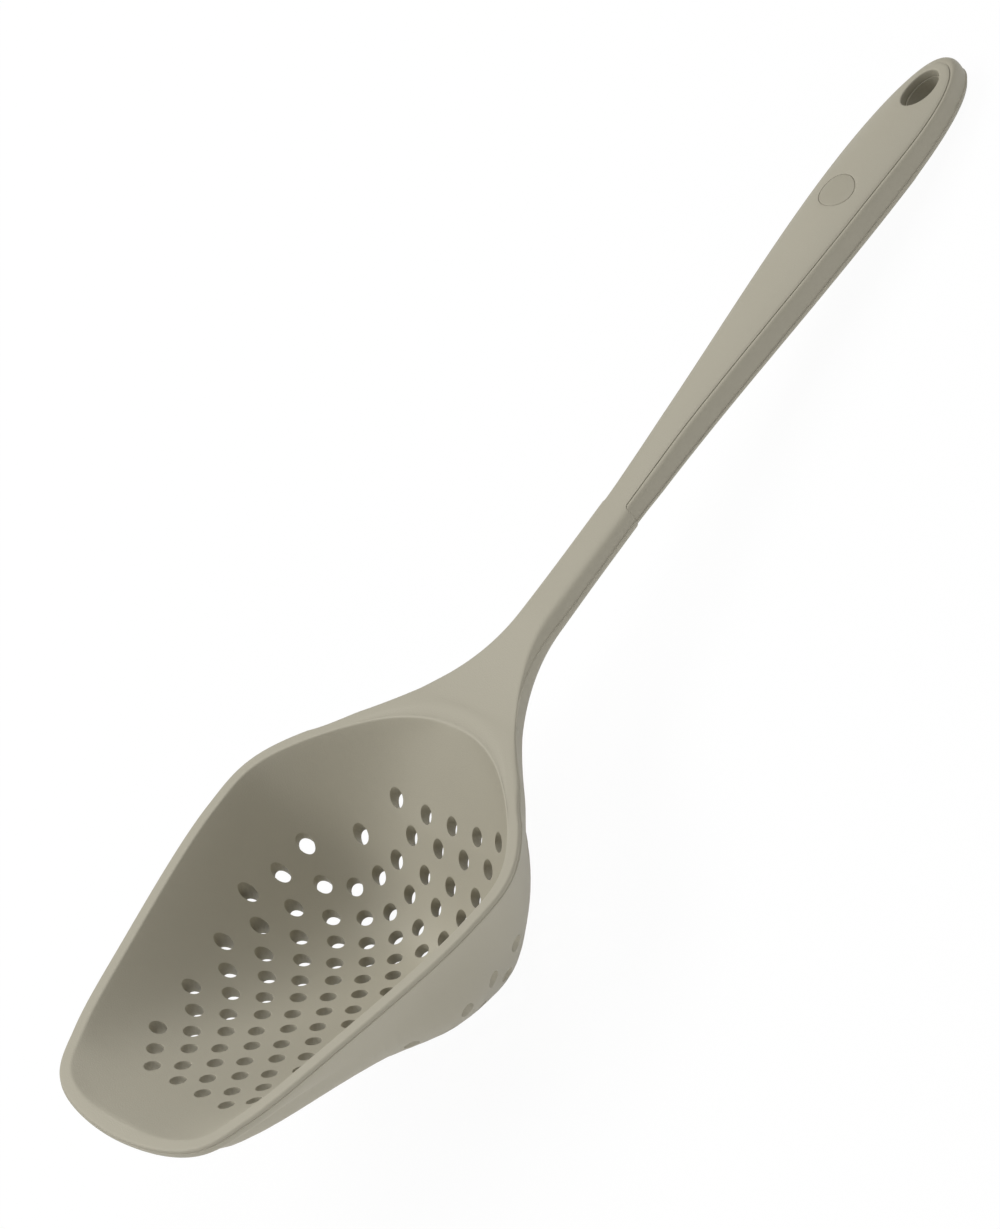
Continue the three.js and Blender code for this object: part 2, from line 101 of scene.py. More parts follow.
# Neck and shoulders
HANDLE_SLOPE = 0.0845  # climb of the handle's middle
HANDLE_START = 183.5  # where the middle crosses the rim's plane
BEND_START = LENGTH - 80.0
BEND_RADIUS = 2080.0
NECK_HALF = 6.45
NECK_TOP = 3.65
NECK_BACK = 4.4
NECK_CORNER = 4.7  # sideways reach of the neck's rounded corners
SHOULDER_START = 125.0  # where the shoulders leave the rim
SHOULDER_END = 182.0  # where they have become the neck
SHOULDER_RADIUS = 37.5  # arc of a shoulder
SHOULDER_SWEEP = 50.0  # length of that arc before it runs on straight
SHOULDER_CORNER = 1.2
RIM_LEAVES = SHOULDER_START - 0.5  # the rim's profile ends at its first point beyond this place
SHOULDER_SLIP = 12.0  # over this length the shoulder's edge passes from the rim's line to its own
HEEL = 150.0  # first whole section of the neck
NECK_FULL = 178.2  # where the neck's back has its full depth
CORNER_FULL = 205.0  # where its corners have their full reach
SEAM_RISE, SEAM_DROP, SEAM_FULL = 2.4, 0.8, 190.0
SEAM_GAP = 0.006
FRONT_ROUND, BACK_ROUND = 3.2, 2.1  # powers of the sections in front of and behind the seam
FLASH = 0.32  # width of the fine flash along the seam
FLASH_LIFT = [0.05, 0.22]  # its edge and its foot above the seam
COLLAR_END = 219.0
COLLAR_ROUND = 0.45
COLLAR_FADE = 4  # columns over which that rounding ends beside the strip
SKIN = 2.2
GROOVE = 0.05

# Front strip
LAND_TOP = 4.55  # middle of the handle to the strip's top, at the collar
LAND_SWELL = 2.45  # rise of that top to the widest part
LAND_DROP, LAND_DROP_FROM = 2.3, 322.0  # its fall towards the end
LAND_CROWN = 22.0  # radius across
LAND_EDGE, LAND_ROLL = 0.18, 0.8  # depth and width of the rolled edge
LAND_RISE = 0.22  # height of the strip above the core's shoulder
LAND_FLARE = 1.3
LAND_BLEND = 30.0  # length over which the collar's section becomes the strip's
LAND_HALF_START, LAND_HALF, LAND_PEAK, LAND_TIP = 3.9, 10.1, 342.0, 2.5
LAND_END = 377.3
STRIP_LOW = LAND_TOP - SKIN + GROOVE

# Core and back strip
BODY_HALF_START, BODY_HALF, BODY_PEAK, BODY_TIP = 6.2, 12.1, 345.0, 2.1
SIDE_OUT, SIDE_UP = 2.8, 2.8  # powers of the core's rounded side
BACK_ROLL = 2.9  # radius of the core's back edge
BACK_AT_COLLAR, BACK_AT_PEAK = 4.1, 5.03
BACK_RISE = 0.4
BACK_STRIP_INSET = 1.6
BACK_STRIP_START = COLLAR_END - 1
BACK_STRIP_DEEP = 0.8  # from the core's web to the hidden face of the strip
BACK_STEPS = [(0, 0.5), (0.15, 0.15), (0.5, 0)]  # its rounded edge: inset, height over its face
EYE_BACK_FLARE = 0.4
CORE_START = COLLAR_END + GROOVE
WEB_TOP = LAND_TOP - SKIN
WEB_LOW = SKIN - NECK_BACK
CORE_SEAM, SEAM_SHELF = -2.0, 0.16  # level of the core's seam and the side's foot above it
CORE_FLASH = [(FLASH, -0.02), (FLASH, -0.07), (0, -0.1)]  # stand and level of the flash
POCKET_DROP = 0.08  # the pocket's edge lies this much lower
NOTCH, NOTCH_REACH = 0.4, 14.0  # the core is slimmer behind the collar

# Hanging hole and badge
EYE_X, EYE_LENGTH, EYE_WIDTH, EYE_LEDGE = 367.2, 14.3, 8.9, 0.4
EYE_RINGS = [(0.45, 0.0), (0.33, 0.02), (0.22, 0.07), (0.12, 0.16), (0.05, 0.28), (0.01, 0.42),
             (0.0, 0.6)]  # offset, depth
EYE_CLEAR = 3.6
BADGE_X, BADGE_RADIUS, BADGE_DEPTH = 327.8, 5.6, 0.9
BADGE_FLOOR = BADGE_DEPTH + 0.1
BADGE_SEAT = [(0.22, 0.0), (0.13, 0.02), (0.07, 0.08), (0.05, 0.2), (0.05, BADGE_FLOOR)]
BADGE_PROFILE = [(0, 0.0), (2.5, 0.0), (BADGE_RADIUS - 0.45, 0.0), (BADGE_RADIUS - 0.2, -0.03),
                 (BADGE_RADIUS - 0.06, -0.12), (BADGE_RADIUS, -0.3), (BADGE_RADIUS, -BADGE_DEPTH),
                 (0, -BADGE_DEPTH)]
BADGE_CLEAR = 1.4

# How the tool lies on its bowl and on the end of its handle.
MM_PER_METRE = 1000
TILT = 0.22010434
SHIFT = np.array([-187.838517, 0.0, 72.945436])
TURN = np.array([[math.cos(TILT), 0, math.sin(TILT)],
                 [0, 1, 0],
                 [-math.sin(TILT), 0, math.cos(TILT)]])

# How finely the surfaces are divided: numbers of points.
MOUTH_COUNT = 280
FINE_COUNT = 5600
HOLE_COUNT = 24
SIDE_COUNT = 18
FLAT_COUNT = 4
FILLET_COUNT = 5
SHOULDER_COUNT = 26
NECK_COUNT = 46
COLLAR_COUNT = 5
LAND_COUNT, PLATE_COUNT, GRIP_COUNT, TIP_COUNT = 42, 24, 60, 33
OVAL_COUNT, BADGE_COUNT = 56, 72
CORE_SIDE_COUNT, CORE_BACK_COUNT = 15, 11

# Loose points of the bowl's faces: rings round a centre, first and last ring, step and points per ring.
SPREAD_CENTRE = np.array([95.0, 0.0])
SPREAD_DEPTH = 48.0
SPREAD_SAMPLES = 400
SPREAD_FIRST, SPREAD_LAST, SPREAD_STEP = 3.0, 1.2, 2.3
SPREAD_LEAST, SPREAD_MOST = 8, 190
SPREAD_CLEAR = 0.35  # distance from the border, of which every fourth point is tried
BORDER_SKIP = 4

# Loose points of the strip's end: lines along its edge, less a few at both ends, and a lattice inside.
PLATE_START = 300.0
PLATE_INSETS = [0.25, 0.55, 0.95, 1.4, 2.0]
PLATE_SKIP = 6
LATTICE_ALONG, LATTICE_ACROSS, LATTICE_HALF = 2.0, 1.7, 8.5
LATTICE_BEFORE_END = 3
LATTICE_SPARE = 0.1  # so that the last line counts
LATTICE_CLEAR = 2.4

# Close stations behind an edge, and where the even ones follow.
FINE_STEPS = np.array([0, 0.08, 0.2, 0.36, 0.56, 0.8, 1.05, 1.3])
FINE_END = 1.6

# Small steps, tolerances and rounds of correction.
TINY = 1e-6
SLOPE_STEP = 0.05
RIM_STEP = 0.25
CLIMB_STEP, CLIMB_LEAST = 0.5, 0.05
OUTLINE_FROM, OUTLINE_STEP = COLLAR_END + 2, 0.5
OUTLINE_LEAST = 1e-3
UNDER_ROUNDS, BORE_ROUNDS, TUCK_ROUNDS = 14, 18, 30
PLAN_WELD = 1e-5
WELD_METRES, SLIVER_METRES = 2e-6, 1e-7
SHARP_DEGREES = 50


def lying(points):
    """The mouth's frame turned about Y by the tilt and shifted onto the floor, in metres."""
    return (np.asarray(points, float) @ TURN.T + SHIFT) / MM_PER_METRE


def ease(x, start, end):
    """Cubic step: 0 before start, 1 after end, 3t^2 - 2t^3 between."""
    t = np.clip((x - start) / (end - start), 0, 1)
    return t * t * (3 - 2 * t)


def mix(a, b, t):
    return a + (b - a) * t


def cosine(x, start, end):
    """Half a cosine wave from 0 at start to 1 at end."""
    return (1 - np.cos(np.pi * np.clip((x - start) / (end - start), 0, 1))) / 2


def xyz(x, y, z):
    return np.stack(np.broadcast_arrays(x, y, z), -1).astype(float)


# Meshes are gathered as patches of (points, faces) and welded where their borders meet.

def grid(points, closed=False):
    """Quads over a grid of points; closed joins the last column to the first."""
    rows, cols = points.shape[:2]
    i, j = np.meshgrid(np.arange(rows - 1), np.arange(cols if closed else cols - 1), indexing="ij")
    k = (j + 1) % cols
    quads = np.stack([i * cols + j, i * cols + k, (i + 1) * cols + k, (i + 1) * cols + j], -1)
    return points.reshape(-1, 3), quads.reshape(-1, 4)


def within(points, loop):
    """Points inside a closed plan loop: an odd number of its sides lies straight beside them."""
    a, b = loop, np.roll(loop, -1, 0)
    x, y = points[:, None, 0], points[:, None, 1]
    spans = (a[:, 1] > y) != (b[:, 1] > y)
    rise = np.where(b[:, 1] == a[:, 1], 1, b[:, 1] - a[:, 1])
    crossing = a[:, 0] + (y - a[:, 1]) * (b[:, 0] - a[:, 0]) / rise
    return (spans & (x < crossing)).sum(1) % 2 == 1


def triangles(points, borders, keep):
    """Delaunay triangles of plan points inside the first closed border of point indices, with every
    border kept as edges, less those that `keep` drops."""
    edges = [(int(a), int(b)) for loop in borders for a, b in zip(loop, np.roll(loop, -1))]
    plan, _, faces, _, _, _ = delaunay_2d_cdt([Vector(p) for p in points], edges, [], 0, PLAN_WELD, True)
    plan = np.array([tuple(p) for p in plan])
    faces = np.array(faces)
    centres = plan[faces].mean(1)
    return plan, faces[within(centres, points[borders[0]]) & keep(centres)]


def build(name, patches, material, node):
    """One welded mesh of all patches, laid on the floor, facing outwards."""
    start, points, faces = 0, [], []
    for p, f in patches:
        points.append(p)
        faces += (f + start).tolist()
        start += len(p)
    mesh = bpy.data.meshes.new(name)
    mesh.from_pydata(lying(np.concatenate(points)).tolist(), [], faces)
    bm = bmesh.new()
    bm.from_mesh(mesh)
    bmesh.ops.remove_doubles(bm, verts=bm.verts, dist=WELD_METRES)
    bmesh.ops.dissolve_degenerate(bm, edges=bm.edges, dist=SLIVER_METRES)
    bmesh.ops.recalc_face_normals(bm, faces=bm.faces)
    bm.to_mesh(mesh)
    bm.free()
    mesh.polygons.foreach_set("use_smooth", np.ones(len(mesh.polygons), bool))
    mesh.set_sharp_from_angle(angle=math.radians(SHARP_DEGREES))
    obj = bpy.data.objects.new(name, mesh)
    bpy.context.collection.objects.link(obj)
    mesh.materials.append(material)
    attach(obj, "root")
    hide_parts(node)


def outward(path, closed=True):
    """Unit normals to the right of a plan path, from the chord between each point's neighbours."""
    if closed:
        along = np.roll(path, -1, 0) - np.roll(path, 1, 0)
    else:
        along = np.gradient(path, axis=0)
    n = np.stack([along[:, 1], -along[:, 0]], -1)
    return n / np.linalg.norm(n, axis=1, keepdims=True)


# Bowl

def mouth_curve(count):
    """Closed Catmull-Rom curve through the mouth's points: each span is a cubic whose end slopes follow
    the neighbouring points, with knots spaced by the square root of their distance."""
    side = np.array(MOUTH) * [BOWL_LENGTH, -BOWL_HALF] + [LIP, 0]
    p1 = np.concatenate([side, (side[1:-1] * [1, -1])[::-1]])
    p0, p2, p3 = np.roll(p1, 1, 0), np.roll(p1, -1, 0), np.roll(p1, -2, 0)
    spans = ((p0, p1), (p1, p2), (p2, p3))
    d0, d1, d2 = (np.sqrt(np.linalg.norm(b - a, axis=1))[:, None] for a, b in spans)
    m1 = ((p1 - p0) / d0 - (p2 - p0) / (d0 + d1) + (p2 - p1) / d1) * d1
    m2 = ((p2 - p1) / d1 - (p3 - p1) / (d1 + d2) + (p3 - p2) / d2) * d1
    t = np.arange(count) / count * len(p1)
    i = t.astype(int)
    s = (t - i)[:, None]
    return ((2 * s**3 - 3 * s**2 + 1) * p1[i] + (s**3 - 2 * s**2 + s) * m1[i]
            + (3 * s**2 - 2 * s**3) * p2[i] + (s**3 - s**2) * m2[i])


FINE_SIDE = mouth_curve(FINE_COUNT)[:FINE_COUNT // 2 + 1]


def mouth_half(x):
    return np.interp(x, FINE_SIDE[:, 0], -FINE_SIDE[:, 1])


def share_across(x, y):
    """Distance from the middle as a share of the mouth's half width."""
    return np.clip(np.abs(y) / np.maximum(mouth_half(x), TINY), 0, 1)


def bowl_depth(x):
    """Sloping floor and steep back wall, rounded into each other by a hyperbola."""
    floor = FLOOR_SLOPE * (x - LIP)
    wall = BACK_SLOPE * (BACK - x)
    blend = FLOOR_BLEND * np.clip(wall / BLEND_FADE, 0, 1)
    return np.maximum(0, (floor + wall) / 2 - np.hypot((floor - wall) / 2, blend))


def bowl_z(x, y):
    """Depth along the middle times 1 - |y / half width|^power across it."""
    return -bowl_depth(x) * (1 - share_across(x, y) ** SIDE_POWER)


def bowl_slope(x, y):
    """Rise of the inner face along X and along Y, from small steps to both sides."""
    d = SLOPE_STEP
    dx = (bowl_z(x + d, y) - bowl_z(x - d, y)) / (2 * d)
    dy = (bowl_z(x, y + d) - bowl_z(x, y - d)) / (2 * d)
    return dx, dy


def bowl_normal(x, y):
    dx, dy = bowl_slope(x, y)
    n = xyz(-dx, -dy, 1.0)
    return n / np.linalg.norm(n, axis=-1, keepdims=True)


def inside(q):
    return xyz(q[..., 0], q[..., 1], bowl_z(q[..., 0], q[..., 1]))


def wall_at(q):
    """Thickness of the wall along the inner face's normal: even, with smooth swellings low on the sides
    behind the lip, halfway and before the back, and a hollow between the last two."""
    x = q[..., 0]
    share = share_across(x, q[..., 1])
    along = LIP_FILL * ease(x, LIP, LIP_FILL_AT) * (1 - ease(x, LIP_FILL_AT, LIP_FILL_END))
    for amount, before_back, reach in WALL_CHANGES:
        peak = BACK - before_back
        along = along + amount * (ease(x, peak - reach, peak) * (1 - ease(x, peak, peak + reach)))
    return WALL + along * ease(share, FILL_FROM, FILL_FULL) * (1 - ease(share, FILL_FULL, 1))


def outside(q):
    """Point of the outer face: a wall's thickness under the inner face at q, along its normal."""
    return inside(q) - wall_at(q)[..., None] * bowl_normal(q[..., 0], q[..., 1])


def under(p):
    """Inner-face point whose outer-face point lies straight at plan point p, by repeated correction."""
    q = p.copy()
    for _ in range(UNDER_ROUNDS):
        q = p + wall_at(q)[..., None] * bowl_normal(q[..., 0], q[..., 1])[..., :2]
    return q


def hole_centres():
    """Straight rows across the bowl, each even and centred, at alternating steps along it."""
    rows = np.arange(len(HOLES_IN_ROW))
    x = FIRST_ROW + HOLE_PITCH * (rows // 2) + ROW_STEP * (rows % 2)
    y = [(np.arange(n) - (n - 1) / 2) * HOLE_PITCH for n in HOLES_IN_ROW]
    return np.stack([np.repeat(x, HOLES_IN_ROW), np.concatenate(y)], -1)


CENTRES = hole_centres()
ANGLES = np.arange(HOLE_COUNT) / HOLE_COUNT * 2 * np.pi
CIRCLE = np.stack([np.cos(ANGLES), np.sin(ANGLES)], -1)
CLIMB = np.stack(bowl_slope(*CENTRES.T), -1)
STEEP = np.linalg.norm(CLIMB, axis=1)[:, None]
UPHILL = CLIMB / np.maximum(STEEP, TINY)
SQUEEZE = (1 + STEEP**2) ** -HOLE_SQUEEZE


def hole_ring(radius):
    """Rings round all holes: circles in plan, drawn in along the slope so that a hole on a steep wall
    keeps a nearly round opening."""
    along = (CIRCLE[None] * UPHILL[:, None]).sum(-1, keepdims=True) * UPHILL[:, None]
    return CENTRES[:, None] + radius * (CIRCLE[None] - (1 - SQUEEZE[:, None]) * along)


def spread(border):
    """Plan points inside the bowl on shrunken copies of its mouth, closer together where it is steep."""
    share = np.linspace(0, 1, SPREAD_SAMPLES)
    rise = SPREAD_DEPTH * SIDE_POWER * share ** (SIDE_POWER - 1)
    reach = np.cumsum(np.hypot(BOWL_HALF, rise)) / SPREAD_SAMPLES
    shares = np.interp(np.arange(SPREAD_FIRST, reach[-1] - SPREAD_LAST, SPREAD_STEP), reach, share)
    rings = [mouth_curve(max(SPREAD_LEAST, int(SPREAD_MOST * s))) for s in shares]
    points = np.concatenate([SPREAD_CENTRE + (r - SPREAD_CENTRE) * s for r, s in zip(rings, shares)])
    inner = np.linalg.norm(points[:, None] - border[None, ::BORDER_SKIP], axis=-1).min(1)
    return points[inner > SPREAD_CLEAR]


def in_holes(points, rings):
    """Plan points inside any of the holes' rings."""
    found = np.zeros(len(points), bool)
    for ring in rings:
        near = np.flatnonzero(((points > ring.min(0)) & (points < ring.max(0))).all(1))
        found[near] |= within(points[near], ring)
    return found


def clear_of(points, rings, gap):
    """Plan points outside all rings and not nearer to them than a gap."""
    keep = ~in_holes(points, rings)
    for ring in rings:
        near = np.flatnonzero(((points > ring.min(0) - gap) & (points < ring.max(0) + gap)).all(1))
        keep[near] &= np.linalg.norm(points[near, None] - ring[None], axis=-1).min(1) > gap
    return points[keep]


def perforated(border, ring, ring_out, place):
    """The bowl's face inside its border with the holes left open: plan triangles lifted by `place`."""
    loose = clear_of(spread(border), ring_out, HOLE_CLEAR)
    points = np.concatenate([border, ring.reshape(-1, 2), ring_out.reshape(-1, 2), loose])
    loops = [np.arange(len(border))]
    loops += [len(border) + k * HOLE_COUNT + np.arange(HOLE_COUNT) for k in range(len(CENTRES))]
    plan, faces = triangles(points, loops, lambda c: ~in_holes(c, ring))
    return place(plan), faces


def leaning(ring):
    """Inner-face points over the outer ends of the bores. Each bore runs straight down from the inner
    face, leaning by a share of the slope's angle towards the wall's normal; its length is found by
    halving."""
    drift = np.tan(HOLE_LEAN * np.arctan(STEEP)) * UPHILL
    top = inside(ring)[..., 2]
    least, most = np.zeros(top.shape), np.full(top.shape, BORE_LIMIT)
    for _ in range(BORE_ROUNDS):
        deep = (least + most) / 2
        above = top - deep > outside(under(ring + deep[..., None] * drift[:, None]))[..., 2]
        least, most = np.where(above, deep, least), np.where(above, most, deep)
    return under(ring + deep[..., None] * drift[:, None])


def bowl_patches(edge, low):
    """Inner face, outer face and the walls of the holes. A hole is a straight bore, leaning from the
    upright towards the wall's normal, with rounded edges: rings that widen by a quarter circle towards
    both faces."""
    top, base = [], []
    for wide, drop in EDGE_STEPS:
        ring = hole_ring(HOLE_RADIUS + HOLE_EDGE * wide)
        top.append(inside(ring) - [0, 0, HOLE_EDGE * drop])
        base.append(outside(leaning(ring)) + [0, 0, HOLE_EDGE * drop])
    walls = np.stack(top + base[::-1], 1)
    bores = [grid(w, closed=True) for w in walls]
    r0 = hole_ring(HOLE_RADIUS + HOLE_EDGE)
    r1 = hole_ring(HOLE_RADIUS + HOLE_EDGE + HOLE_MARGIN)
    face_in = perforated(edge, r0, r1, inside)
    face_out = perforated(low, leaning(r0), leaning(r1), outside)
    return [face_in, face_out] + bores


# Neck and front strip: heights and widths

def middle(x):
    """Straight climb from the bowl, bent down along a wide arc towards the end."""
    return HANDLE_SLOPE * (x - HANDLE_START) - np.maximum(0, x - BEND_START) ** 2 / (2 * BEND_RADIUS)


def neck_half(x):
    """Straight neck, an arc that sweeps outwards, then its tangent to the rim."""
    s = np.maximum(0, SHOULDER_END - x)
    sweep = np.minimum(s, SHOULDER_SWEEP)
    return NECK_HALF + sweep * (2 * s - sweep) / (2 * SHOULDER_RADIUS)


def neck_top(x):
    return mix(0, middle(x) + NECK_TOP, ease(x, BACK - SHOULDER_CORNER, HANDLE_START))


def neck_low(x):
    return mix(-RIM_HEIGHT, middle(x) - NECK_BACK, ease(x, SHOULDER_START, NECK_FULL))


def neck_corner(x):
    return mix(SHOULDER_CORNER, NECK_CORNER, ease(x, HEEL, CORNER_FULL))


def seam(x):
    """Parting line along the widest part of the neck: above the handle's middle at the heel, below it at
    the collar."""
    return middle(x) + mix(SEAM_RISE, -SEAM_DROP, ease(x, HEEL, SEAM_FULL))


def neck_rise(x, y, level):
    """Section of the neck above or below its seam: flat across the middle, then a quarter superellipse
    to the seam at the side. `level` is the flat part's height above the seam, negative for the back."""
    t = np.clip((np.abs(y) - neck_half(x) + neck_corner(x)) / neck_corner(x), 0, 1)
    power = np.where(np.asarray(level) > 0, FRONT_ROUND, BACK_ROUND)
    return seam(x) + level * (1 - t**power) ** (1 / power)


def neck_front(x, y, level):
    """The section above the seam, drawn in at the side to leave a fine flash standing out."""
    half = neck_half(x)
    return neck_rise(x, y * half / np.maximum(half - FLASH, np.abs(y)), level)


def land_flare(x):
    """Quarter circle by which the front strip widens into the collar."""
    u = np.clip((x - COLLAR_END) / LAND_FLARE, 0, 1)
    return LAND_FLARE * (1 - np.sqrt(1 - (1 - u) ** 2))


def land_half(x):
    """Cosine swell from the collar to the widest part, then a superellipse to the end."""
    swell = mix(LAND_HALF_START, LAND_HALF, cosine(x, COLLAR_END, LAND_PEAK)) + land_flare(x)
    t = np.clip((x - LAND_PEAK) / (LAND_END - LAND_PEAK), 0, 1)
    tip = LAND_HALF * (1 - t**LAND_TIP) ** (1 / LAND_TIP)
    return np.where(x < LAND_PEAK, swell, tip)


def split_half(x):
    """Where the neck's top passes into its sides: the line that the front strip's edge continues."""
    return neck_half(x) * land_half(COLLAR_END) / neck_half(COLLAR_END)


def land_distance(x, y):
    """Distance in plan from the edge of the front strip, taken from its outline's slope."""
    steps = np.arange(OUTLINE_FROM, LAND_END, OUTLINE_STEP)
    slope = np.gradient(land_half(steps), OUTLINE_STEP)
    side = (land_half(x) - np.abs(y)) / np.hypot(1, np.interp(x, steps, slope))
    a = np.maximum(x - LAND_PEAK, TINY) / (LAND_END - LAND_PEAK)
    b = np.abs(y) / LAND_HALF
    f = a**LAND_TIP + b**LAND_TIP
    fx = LAND_TIP * a ** (LAND_TIP - 1) / (LAND_END - LAND_PEAK)
    fy = LAND_TIP * b ** (LAND_TIP - 1) / LAND_HALF
    tip = (1 - f) / np.maximum(np.hypot(fx, fy), OUTLINE_LEAST)
    return np.maximum(0, np.where(x < LAND_PEAK, side, tip))


def land_top(x):
    """Height of the front strip's middle: swells with its width and falls off again towards the end."""
    behind = np.clip((x - LAND_DROP_FROM) / (LAND_END - LAND_DROP_FROM), 0, 1)
    return LAND_TOP + LAND_SWELL * cosine(x, COLLAR_END, LAND_PEAK) - LAND_DROP * behind**2


def land_level(x, y):
    """Front strip above the handle's middle: an arc across, with the very edge rolled down."""
    crown = y * y / (2 * LAND_CROWN)
    roll = LAND_EDGE * np.clip(1 - land_distance(x, y) / LAND_ROLL, 0, 1) ** 2
    return land_top(x) - crown - roll


def land_z(x, y):
    """Front strip: the collar's section at its start, passing into the strip's own crowned section."""
    collar = neck_front(COLLAR_END, y, NECK_TOP + SEAM_DROP) - middle(COLLAR_END)
    return middle(x) + mix(collar, land_level(x, y), ease(x, COLLAR_END, COLLAR_END + LAND_BLEND))


# Rim, shoulders and heel

MOUTH_EDGE = mouth_curve(MOUTH_COUNT)
MOUTH_OUT = outward(MOUTH_EDGE)
RIM_OUTER = MOUTH_EDGE + RIM_WIDTH * MOUTH_OUT
LEAVES = int(np.argmax(RIM_OUTER[:, 0] > RIM_LEAVES))
BACK_RANGE = np.arange(LEAVES, MOUTH_COUNT - LEAVES + 1)
FRONT_RANGE = np.arange(-LEAVES, LEAVES + 1) % MOUTH_COUNT
TOP_COUNT = len(BACK_RANGE) + 2 * (FLAT_COUNT - 1)
LEFT_EDGE, RIGHT_EDGE = SIDE_COUNT - 1, SIDE_COUNT + TOP_COUNT
TOP_COLUMNS = slice(LEFT_EDGE, RIGHT_EDGE + 1)


def rim_profile():
    """(offset, level) from the flat top's outer end round a quarter circle and down the side to the
    small ledge of the parting line."""
    side, full = RIM_WIDTH - PARTING, RIM_WIDTH - LEDGE_INSET
    line = [(side, z) for z in SIDE_LEVELS] + [(full, z) for z in LEDGE_LEVELS]
    a = np.linspace(0, np.pi / 2, SIDE_COUNT - len(line))
    turn = np.stack([side - RIM_ROUND * (1 - np.sin(a)), -RIM_ROUND * (1 - np.cos(a))], -1)
    return np.concatenate([turn, line])


def coons(near, far, left, right):
    """Surface between four border curves: the sum of the two straight blends less the bilinear one."""
    u = np.linspace(0, 1, len(near))[None, :, None]
    v = np.linspace(0, 1, len(left))[:, None, None]
    across = (1 - v) * near[None] + v * far[None]
    along = (1 - u) * left[:, None] + u * right[:, None]
    corners = (1 - v) * ((1 - u) * near[0] + u * near[-1]) + v * ((1 - u) * far[0] + u * far[-1])
    return across + along - corners


def bezier(a, b, c, count):
    """Quadratic curve from a to c drawn towards b."""
    t = np.linspace(0, 1, count)[:, None, None]
    return (1 - t) ** 2 * a + 2 * t * (1 - t) * b + t**2 * c


def columns(side, inner):
    """Columns from the right seam to the left one: the side's, then evenly over the inner part."""
    return np.concatenate([-side, inner * np.linspace(-1, 1, TOP_COUNT + 2)[1:-1], side[:, ::-1]], 1)


def front_section(x):
    """Front half of the neck from seam to seam: a fine flash, the rounded side up to the strip's line,
    and the top."""
    x = x[:, None]
    half, split = neck_half(x), split_half(x)
    side = split + (half - FLASH - split) * np.sin(np.linspace(np.pi / 2, 0, SIDE_COUNT - 2))
    y = columns(np.concatenate([half, half, side], 1), split)
    lift = np.zeros(y.shape[1])
    lift[[1, -2]], lift[[2, -3]] = FLASH_LIFT
    z = np.maximum(neck_front(x, y, neck_top(x) - seam(x)), seam(x) + SEAM_GAP + lift)
    return xyz(x, y, z)


def back_section(x):
    """Back half of the neck under the seam: the rounded side and the flat back."""
    x = x[:, None]
    flat = neck_half(x) - neck_corner(x)
    y = columns(flat + neck_corner(x) * np.sin(np.linspace(np.pi / 2, 0, SIDE_COUNT)), flat)
    return xyz(x, y, np.minimum(neck_rise(x, y, neck_low(x) - seam(x)), seam(x) - SEAM_GAP))


def chord(rows):
    """Straight rows from the first to the last column."""
    return mix(rows[:, :1], rows[:, -1:], np.linspace(0, 1, rows.shape[1])[None, :, None])


def neck_stations(start):
    """Places of the neck's sections: even, then close together round the collar's end."""
    a = np.linspace(0, np.pi / 2, COLLAR_COUNT)
    even = np.linspace(start, COLLAR_END - COLLAR_ROUND, NECK_COUNT)[:-1]
    return np.concatenate([even, COLLAR_END - COLLAR_ROUND * (1 - np.sin(a))])


def worn_end(rows):
    """Share by which rows are drawn in towards the neck's axis by the rounding of the collar's end."""
    x = rows[:, 0, 0]
    reach = np.maximum(0, x - COLLAR_END + COLLAR_ROUND)
    worn = COLLAR_ROUND - np.sqrt(np.maximum(0, COLLAR_ROUND**2 - reach**2))
    return (worn / neck_half(x))[:, None]


def drawn_in(rows, share):
    x, y, z = rows[..., 0], rows[..., 1], rows[..., 2]
    return xyz(x, y * (1 - share), mix(z, seam(x), share))


def wall_under_rim(high):
    """Points round the mouth where the outer wall meets the rim's foot: the distance from the mouth's
    edge at which the wall is deep enough, found by halving."""
    x, y = MOUTH_EDGE.T
    sides = np.where(x > FLUSH_BACK, ease(np.abs(y), FLUSH_CORNER_IN, FLUSH_CORNER_OUT), 1)
    deep = high + RIM_FOOT + FLUSH * ease(x, FLUSH_FROM, FLUSH_FULL) * sides
    least, most = np.full(len(x), TUCK_LEAST), np.full(len(x), TUCK_MOST)
    for _ in range(TUCK_ROUNDS):
        tuck = (least + most) / 2
        below = outside(MOUTH_EDGE - MOUTH_OUT * tuck[:, None])[:, 2] < -deep
        least, most = np.where(below, least, tuck), np.where(below, tuck, most)
    return MOUTH_EDGE - MOUTH_OUT * tuck[:, None]


